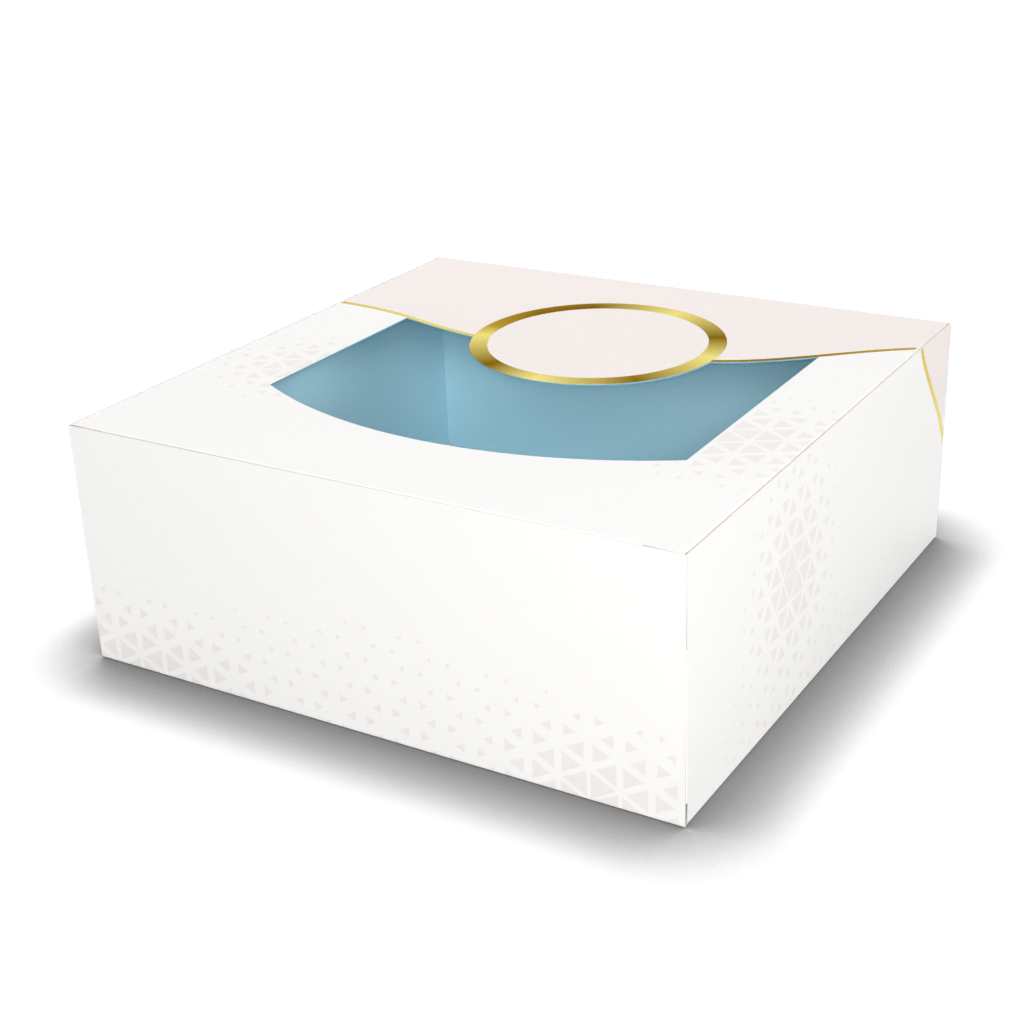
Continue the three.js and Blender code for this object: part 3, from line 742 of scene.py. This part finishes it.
side_flap("right_flap_board", 1, "right_side_flap", "right_flap")
side_flap("left_flap_board", 3, "left_side_flap", "left_flap")

# Glue round the window: a bead of the same cold glue, laid by a nozzle round the opening and pressed flat
# between the lid and the film, so that its edges waver a little.

BEAD = 5.0
BEAD_CORNER = 8.0
BEAD_PROFILE = ((0, 0.5), (0.02, 0.1), (0.1, 0), (0.9, 0), (0.98, 0.1))  # way across and height, as shares
BEAD_PROFILE += ((1, 0.5), (0.98, 0.9), (0.9, 1), (0.1, 1), (0.02, 0.9))
BEAD_WAVER, BEAD_CLEAR = 0.3, 0.03  # how far its edges waver, and its distance from the lid and the film
CORNER_STEPS, RUN_STEPS = 8, 40


def strip_mesh(name, rails, closed, finish, body, node):
    """A thin strip between rails of equal length, given as (point in the frame, spot on the strip) in mm."""
    bm = bmesh.new()
    spot = bm.verts.layers.float_vector.new("sheet")
    lines = []
    for rail in rails:
        line = []
        for point, on_strip in rail:
            vert = bm.verts.new(Vector(point) / 1000)
            vert[spot] = on_strip
            line.append(vert)
        lines.append(line)
    count = len(lines[0])
    for one, other in zip(lines, lines[1:] + lines[:1]):
        for i in range(0 if closed else 1, count):
            bm.faces.new((one[i - 1], one[i], other[i], other[i - 1])).smooth = one is not lines[-1]
    if not closed:
        for end in (0, -1):
            bm.faces.new([line[end] for line in lines])
    bmesh.ops.recalc_face_normals(bm, faces=bm.faces)
    strip = made_piece(name, bm, (finish,))
    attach(strip, body)
    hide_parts(node)


low, high = (1000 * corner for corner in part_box("window_glue"))
bead_path = []
for quarter, corner in enumerate(((high.x, high.y), (low.x, high.y), (low.x, low.y), (high.x, low.y))):
    middle = Vector(corner) - BEAD_CORNER * Vector(((1, 1), (-1, 1), (-1, -1), (1, -1))[quarter])
    for i in range(CORNER_STEPS + 1):
        angle = (quarter + i / CORNER_STEPS) * math.pi / 2
        out = Vector((math.cos(angle), math.sin(angle)))
        bead_path.append((middle + out * BEAD_CORNER, out))
    run = (high.x - low.x if quarter % 2 == 0 else high.y - low.y) - 2 * BEAD_CORNER
    along = Vector((-out.y, out.x))
    for i in range(1, RUN_STEPS):
        bead_path.append((middle + out * BEAD_CORNER + along * run * i / RUN_STEPS, out))
bead_rails = []
for inset, height in BEAD_PROFILE:
    rail = []
    for i, (point, out) in enumerate(bead_path):
        waver = BEAD_WAVER * (1 + math.sin(i * 0.9 + (2 if inset > 0.5 else 0)) * math.cos(i * 0.37))
        x, y = point - out * (waver + inset * (BEAD - 2 * BEAD_WAVER))
        z = low.z + BEAD_CLEAR + (high.z - low.z - 2 * BEAD_CLEAR) * height
        rail.append(((x, y, z), (x, y, 0)))
    bead_rails.append(rail)
strip_mesh("window_glue_bead", bead_rails, True, cold_glue, "lid", "window_glue")

# Window film, glued under the lid: clear thin plastic cut with rounded corners. It is held round its rim and
# lies a little slack between, so that what it mirrors wavers.

FILM_CELL = 4.0
FILM_ROUNDING = 4.0
FILM_HELD, FILM_EASES = 9.0, 30.0  # from the rim to the glue's inner side, and on to where the film lies free
FILM_RIPPLE, FILM_SAG = 0.09, 0.14
low, high = (1000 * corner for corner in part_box("window_film"))
columns, rows = (round((high[i] - low[i]) / FILM_CELL) for i in (0, 1))
bm = bmesh.new()
spot = bm.verts.layers.float_vector.new("sheet")
rims = []
for level in (high.z, low.z):
    grid = []
    for j in range(rows + 1):
        line = []
        for i in range(columns + 1):
            x = low.x + (high.x - low.x) * i / columns
            y = low.y + (high.y - low.y) * j / rows
            limits = zip((x, y), low, high)
            corner = Vector([min(max(p, a + FILM_ROUNDING), b - FILM_ROUNDING) for p, a, b in limits])
            off = Vector((x, y)) - corner
            if off.length > FILM_ROUNDING:
                x, y = corner + off.normalized() * FILM_ROUNDING
            rim = min(x - low.x, high.x - x, y - low.y, high.y - y)
            free = min(max((rim - FILM_HELD) / FILM_EASES, 0), 1)
            free = free * free * (3 - 2 * free)
            wave = math.sin(x / 11.0 + 0.7 * math.sin(y / 23.0)) * 0.4 + math.sin(y / 14.0 + x / 37.0) * 0.6
            z = level + free * (FILM_RIPPLE * wave - FILM_SAG)
            vert = bm.verts.new(Vector((x, y, z)) / 1000)
            vert[spot] = (x, y, 0)
            line.append(vert)
        grid.append(line)
    for j in range(rows):
        for i in range(columns):
            bm.faces.new((grid[j][i], grid[j][i + 1], grid[j + 1][i + 1], grid[j + 1][i])).smooth = True
    right_side, left_side = [line[-1] for line in grid[1:]], [line[0] for line in grid[-2:0:-1]]
    rims.append(grid[0] + right_side + grid[-1][-2::-1] + left_side)
upper, lower = rims
for i in range(len(upper)):
    bm.faces.new((upper[i - 1], upper[i], lower[i], lower[i - 1]))
bmesh.ops.recalc_face_normals(bm, faces=bm.faces)

# Clear polypropylene film: all but invisible, with a faint haze and a soft gloss that is uneven where the
# film was drawn.
HAZE_MM = (4.0, 30.0)  # across and along the way that the film was drawn
FILM_TINT, FILM_PALE = colour("#dff0f5"), colour("#edf7fa")
clear_film, tree, shader = finish_named("clear_polypropylene_film")
place = add(tree, "Attribute", out="Vector", attribute_name="sheet")
drawn = add(tree, "VectorMath", {0: place, 1: (*HAZE_MM, 1)}, operation="DIVIDE")
haze = add(tree, "TexNoise", {"Vector": drawn, "Scale": 1, "Detail": 3})
gloss = add(tree, "MapRange", {"Value": haze, "To Min": 0.03, "To Max": 0.12})
tint = add(tree, "Mix", {0: haze, 6: FILM_TINT, 7: FILM_PALE}, out=2, data_type="RGBA")
feed(shader, {"Base Color": tint, "Roughness": gloss, "Alpha": 0.03, "IOR": 1.49})
film = made_piece("window_film_sheet", bm, (clear_film,))
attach(film, "lid")
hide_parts("window_film")

# Gold ring and line: foil hot-stamped on the printed board and embossed, so that it stands a little proud
# with soft shoulders. The line waves over the lid under the ring and runs on over the side and back walls.

FOIL = 0.15
FOIL_LINE = 2.4
FOIL_PROFILE = ((-1, 0), (-0.95, 0.65), (-0.78, 1), (0.78, 1), (0.95, 0.65), (1, 0))  # half widths, heights
RING_SHOULDERS = ((0, 0), (0.06, 0.65), (0.4, 1))  # mm in from the ring's edge, heights
RING_STEPS = 180
RING_GAP = 0.05  # between the ring and the line
LINE_END_STEPS = 40
FOIL_POINTS = 900  # along a stretch of the line on the lid, and twice as many on a wall

# Hot-stamped gold foil: smooth bright metal. Its light and dark gold, which alternate round the ring and
# along the line as on a turned metal disc, are painted reflections in its colour.
BRIGHT_GOLD, DEEP_GOLD, MID_GOLD = colour("#f6f0a0"), colour("#6d4a18"), colour("#b4953f")
GOLD_AT_A_SLANT = colour("#f4e0a6")
RING_PAINTED_REFLECTIONS = ((0.0, 0.5), (0.042, 1), (0.167, 0), (0.25, 1), (0.375, 0.1), (0.5, 1), (0.583, 0))
RING_PAINTED_REFLECTIONS += ((0.708, 1), (0.833, 0), (0.917, 0.05), (1.0, 0.5))
LINE_PAINTED_REFLECTIONS = ((0.0, 0.75), (0.2, 0.95), (0.4, 0.7), (0.62, 0.3), (0.8, 0.15), (1.0, 0.6))
LINE_REFLECTIONS_MM = 280.0  # the length over which these run
GRAIN_MM = 0.8


def gold_foil(name, painted_reflections, round_middle):
    """Gold foil whose colour carries painted reflections, 0 deep to 1 bright, that follow the turn round the
    ring or the way along a line.
    """
    material, tree, shader = finish_named(name)
    place = add(tree, "Attribute", out="Vector", attribute_name="sheet")
    if round_middle:
        way = add(tree, "TexGradient", {"Vector": place}, out=1, gradient_type="RADIAL")
    else:
        along = add(tree, "SeparateXYZ", {0: place})
        way = add(tree, "MapRange", {"Value": along, "From Max": LINE_REFLECTIONS_MM})
    # painted reflections: the base colour turns from deep to bright gold and back
    ramp = add(tree, "ValToRGB", {0: way})
    stops = ramp.node.color_ramp.elements
    while len(stops) < len(painted_reflections):
        stops.new(0.5)
    for stop, (at, tone) in zip(stops, painted_reflections):
        low, high = (DEEP_GOLD, MID_GOLD) if tone < 0.5 else (MID_GOLD, BRIGHT_GOLD)
        share = tone * 2 if tone < 0.5 else tone * 2 - 1
        stop.position = at
        stop.color = [a + (b - a) * share for a, b in zip(low, high)]
    grain = add(tree, "TexNoise", {"Vector": place, "Scale": 1 / GRAIN_MM, "Detail": 3})
    gloss = add(tree, "MapRange", {"Value": grain, "To Min": 0.2, "To Max": 0.34})
    bump = add(tree, "Bump", {"Strength": 0.2, "Distance": 0.00005, "Height": grain})
    feed(shader, {"Base Color": ramp, "Roughness": gloss, "Normal": bump})
    feed(shader, {"Metallic": 1, "Specular Tint": GOLD_AT_A_SLANT})
    return material


ring_foil = gold_foil("hot_stamped_gold_foil_ring", RING_PAINTED_REFLECTIONS, True)
line_foil = gold_foil("hot_stamped_gold_foil_line", LINE_PAINTED_REFLECTIONS, False)

shoulders = [(RING_INNER + inset, height) for inset, height in RING_SHOULDERS]
shoulders += [(RING_OUTER - inset, height) for inset, height in reversed(RING_SHOULDERS)]
ring_rails = []
for r, height in shoulders:
    rail = []
    for i in range(RING_STEPS):
        t = 2 * math.pi * i / RING_STEPS
        x, y = r * math.cos(t), r * math.sin(t)
        rail.append(((RING_X + x, RING_Y + y, HEIGHT + FOIL * height), (x, y, 0)))
    ring_rails.append(rail)
strip_mesh("gold_ring", ring_rails, True, ring_foil, "lid", "foil_ring")


def foil_line(name, path, keep, place, body, node, steps=72):
    """Foil along a path, each rail of its cross-section cut off where keep is no longer true."""
    first = path[0] - (path[1] - path[0]).normalized() * FOIL_LINE
    last = path[-1] + (path[-1] - path[-2]).normalized() * FOIL_LINE
    long = [first + (path[0] - first) * i / LINE_END_STEPS for i in range(LINE_END_STEPS)] + path
    long += [path[-1] + (last - path[-1]) * (i + 1) / LINE_END_STEPS for i in range(LINE_END_STEPS)]
    rails = []
    for across, height in FOIL_PROFILE:
        kept, gone = [], 0.0
        moved = beside(long, across * FOIL_LINE / 2)
        for i, point in enumerate(moved):
            gone += (long[i] - long[i - 1]).length if i else 0
            if keep(point):
                kept.append((point, gone))
        rail = []
        for i in range(steps + 1):
            point, along = kept[round(i * (len(kept) - 1) / steps)]
            rail.append((place(*point, height * FOIL), (along, across, 0)))
        rails.append(rail)
    strip_mesh(name, rails, False, line_foil, body, node)


def clear_of_ring(p):
    """Whether a point is on the flat of the lid and outside the ring."""
    return abs(p.x) < LID_FLAT and (p - ring_centre).length > RING_OUTER + RING_GAP


for side, way in (("left", -1), ("right", 1)):
    foil_line(
        "gold_line_" + side,
        lid_line(FOIL_POINTS),
        lambda p, way=way: clear_of_ring(p) and way * (p.x - RING_X) > 0,
        lambda x, y, height: (x, y, HEIGHT + height),
        "lid",
        "lid_foil_" + side,
    )
for name, handles, quarters, limit, top in (
    ("right_wall", RIGHT_LINE, 1, TAB_FOLD, HEIGHT - CUT_ROUNDING),
    ("left_wall", LEFT_LINE, 3, TAB_FOLD, HEIGHT - CUT_ROUNDING),
    ("back_wall", BACK_LINE, 2, HALF - CUT_ROUNDING, HINGED_TOP),
):
    mirror = 1 if quarters == 1 else -1
    foil_line(
        "gold_line_" + name,
        [Vector((mirror * p.x, p.y)) for p in curve_points(handles, 2 * FOIL_POINTS)],
        lambda p, limit=limit, top=top: abs(p.x) < limit and p.y < top,
        lambda a, z, height, quarters=quarters: (*turned(quarters, a, -HALF - height), z),
        "tray",
        name + "_foil",
    )

# Studio: a seamless pale floor under a faint even sky, with four broad soft lamps: one above and behind on
# the left for the lid, one beside the camera that reaches into the box, and one each for the front and right.

SKY = 0.15
FLOOR_GREY, FLOOR_SEEN = (0.5, 0.5, 0.5, 1), (0.2, 0.2, 0.2, 1)  # for the light on the box, and the camera
# the floor's painted contact shadow, drawn from ambient occlusion
CONTACT_M, CONTACT_POWER = 0.036, 4.2  # reach and strength of the shade close to the box
FLOOR_NEAR, FLOOR_FAR, FLOOR_GLOW = 0.3, 1.2, 0.84  # its glow rises to 1 between these distances in m
FLOOR_DROP = 0.0002  # m, which keeps it clear of the base
BOX_MIDDLE = Vector((0, 0, HEIGHT / 2000))
PHOTO_AZIMUTH, PHOTO_ELEVATION, PHOTO_ROLL = 31.71, 23.72, math.radians(-2.17)
PHOTO_DISTANCE, PHOTO_SHIFT = 0.7028, (-0.01087, -0.01036)
PHOTO_LENS = 60.90


def towards(azimuth, elevation):
    """The way to a point round the box: azimuth 0 is the front, 90 the right."""
    a, e = math.radians(azimuth), math.radians(elevation)
    return Vector((math.sin(a) * math.cos(e), -math.cos(a) * math.cos(e), math.sin(e)))


def lamp(name, azimuth, elevation, distance, size, light, mirrored=True):
    """A panel of lamps facing the box; light is what it gives a white surface that faces it."""
    data = bpy.data.lights.new(name, "AREA")
    data.shape = "RECTANGLE"
    data.size, data.size_y = size
    data.energy = light * math.pi**2 * distance**2
    made = bpy.data.objects.new(name, data)
    made.location = BOX_MIDDLE + towards(azimuth, elevation) * distance
    made.visible_glossy = mirrored
    made.rotation_mode = "QUATERNION"
    made.rotation_quaternion = towards(azimuth, elevation).to_track_quat("Z", "Y")
    bpy.context.scene.collection.objects.link(made)


lamp("lamp_behind", 222, 40, 1.5, (1.2, 1.0), 0.66, mirrored=False)
lamp("lamp_beside_camera", 30, 24, 1.7, (0.8, 0.5), 0.645)
lamp("lamp_front", -16, 25, 1.7, (1.6, 0.6), 0.12)
lamp("lamp_right", 84, 28, 1.7, (1.4, 0.6), 0.44)


def in_picture(tree):
    """1 for what the camera sees, also mirrored or through the film, and 0 for the light on things."""
    path = add(tree, "LightPath").node.outputs
    seen = path["Is Camera Ray"]
    for other in ("Is Glossy Ray", "Is Transmission Ray"):
        seen = add(tree, "Math", {0: seen, 1: path[other]}, operation="MAXIMUM")
    return seen


world = bpy.data.worlds.new("studio_sky")
bpy.context.scene.world = world
world.use_nodes = True
tree = world.node_tree
level = add(tree, "MapRange", {"Value": in_picture(tree), "To Min": SKY, "To Max": 1})
feed(tree.nodes["Background"], {"Color": (1, 1, 1, 1), "Strength": level})

bm = bmesh.new()
bmesh.ops.create_grid(bm, x_segments=1, y_segments=1, size=6)
floor_paper, tree, shader = finish_named("white_studio_floor")
tree.nodes.remove(shader)
plain = add(tree, "BsdfDiffuse", {"Color": FLOOR_GREY})
lit = add(tree, "BsdfDiffuse", {"Color": FLOOR_SEEN})
# painted contact shadow: the floor's glow for the camera darkens with ambient occlusion close to the box
close = add(tree, "AmbientOcclusion", {"Distance": CONTACT_M}, out="AO", samples=8)
painted_contact_shadow = add(tree, "Math", {0: close, 1: CONTACT_POWER}, operation="POWER")
here = add(tree, "TexCoord", out="Object")
from_box = add(tree, "VectorMath", {0: here}, out="Value", operation="LENGTH")
fade = {"Value": from_box, "From Min": FLOOR_NEAR, "From Max": FLOOR_FAR, "To Min": FLOOR_GLOW}
level = add(tree, "MapRange", fade)
glow = add(tree, "Emission", {"Color": painted_contact_shadow, "Strength": level})
shown = add(tree, "AddShader", {0: lit, 1: glow})
mixed = add(tree, "MixShader", {0: in_picture(tree), 1: plain, 2: shown})
feed(tree.nodes["Material Output"], {0: mixed})
floor = made_piece("studio_floor", bm, (floor_paper,))
floor.location.z = -FLOOR_DROP

camera = bpy.data.cameras.new("photo_camera")
camera.sensor_width, camera.lens = 36, PHOTO_LENS
camera.clip_start, camera.clip_end = 0.01, 50
back = towards(PHOTO_AZIMUTH, PHOTO_ELEVATION)
right_way = towards(PHOTO_AZIMUTH + 90, 0)
up_way = back.cross(right_way)
eye = BOX_MIDDLE + back * PHOTO_DISTANCE + right_way * PHOTO_SHIFT[0] + up_way * PHOTO_SHIFT[1]
image_x = math.cos(PHOTO_ROLL) * right_way + math.sin(PHOTO_ROLL) * up_way
image_y = math.cos(PHOTO_ROLL) * up_way - math.sin(PHOTO_ROLL) * right_way
holder = bpy.data.objects.new("photo_camera", camera)
axes = Matrix((image_x, image_y, back)).transposed().to_4x4()
holder.matrix_world = Matrix.Translation(eye) @ axes
bpy.context.scene.collection.objects.link(holder)
bpy.context.scene.camera = holder
bpy.context.scene.view_settings.view_transform = "Standard"
